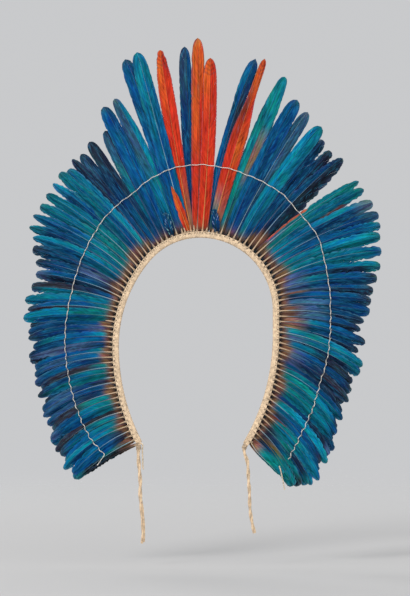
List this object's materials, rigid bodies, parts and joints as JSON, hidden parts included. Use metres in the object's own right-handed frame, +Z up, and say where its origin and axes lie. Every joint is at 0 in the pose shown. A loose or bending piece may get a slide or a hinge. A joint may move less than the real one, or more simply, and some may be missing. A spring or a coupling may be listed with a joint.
{
  "type": "feathered headdress",
  "caption": "Open feather crown: long crown feathers and shorter drooping side feathers set in a horseshoe fibre band, held in line by a thread, with a tie at each end.",
  "frame": {"origin": "inner crown point of the band, on its middle plane, where the band rests on the wearer's head", "axes": "+Z up towards the crown feathers, +X to the viewer's right when seen from the front, the front faces -Y"},
  "size_m": [0.6035, 0.0463, 0.8627],
  "materials": {
    "band_fibre": "twined plant fibre, matt",
    "tie_cord": "two-ply plant fibre cord, matt",
    "thread": "thin cotton thread, matt",
    "feather_red": "red feather, soft sheen",
    "feather_orange": "orange-red feather, soft sheen",
    "feather_teal": "blue-green feather, soft sheen",
    "feather_blue": "blue feather, soft sheen",
    "feather_navy": "dark blue feather, soft sheen",
    "feather_grey": "grey-brown feather, soft sheen"
  },
  "bodies": {
    "root": {"band": "band_fibre", "crown_feather_01": "feather_teal", "crown_feather_02": "feather_grey", "crown_feather_03": "feather_teal", "crown_feather_04": "feather_blue", "crown_feather_05": "feather_navy", "crown_feather_06": "feather_teal", "crown_feather_07": "feather_blue", "crown_feather_08": "feather_teal", "crown_feather_09": "feather_orange", "crown_feather_10": "feather_red", "crown_feather_11": "feather_navy", "crown_feather_12": "feather_orange", "crown_feather_13": "feather_red", "crown_feather_14": "feather_blue", "crown_feather_15": "feather_red", "crown_feather_16": "feather_navy", "crown_feather_17": "feather_teal", "crown_feather_18": "feather_blue", "crown_feather_19": "feather_blue", "crown_feather_20": "feather_teal", "left_feathers_01": "feather_teal", "left_feathers_02": "feather_blue", "left_feathers_03": "feather_teal", "left_feathers_04": "feather_teal", "left_feathers_05": "feather_navy", "left_feathers_06": "feather_teal", "left_feathers_07": "feather_blue", "left_feathers_08": "feather_blue", "left_feathers_09": "feather_blue", "left_feathers_10": "feather_teal", "left_feathers_11": "feather_navy", "left_feathers_12": "feather_blue", "left_feathers_13": "feather_teal", "left_feathers_14": "feather_teal", "right_feathers_01": "feather_teal", "right_feathers_02": "feather_blue", "right_feathers_03": "feather_teal", "right_feathers_04": "feather_teal", "right_feathers_05": "feather_navy", "right_feathers_06": "feather_teal", "right_feathers_07": "feather_blue", "right_feathers_08": "feather_blue", "right_feathers_09": "feather_blue", "right_feathers_10": "feather_teal", "right_feathers_11": "feather_navy", "right_feathers_12": "feather_blue", "right_feathers_13": "feather_teal", "right_feathers_14": "feather_teal", "restraining_thread": "thread", "thread_tail": "thread", "tie_left": "tie_cord", "tie_right": "tie_cord", "loose_end": "thread"}
  },
  "joints": []
}
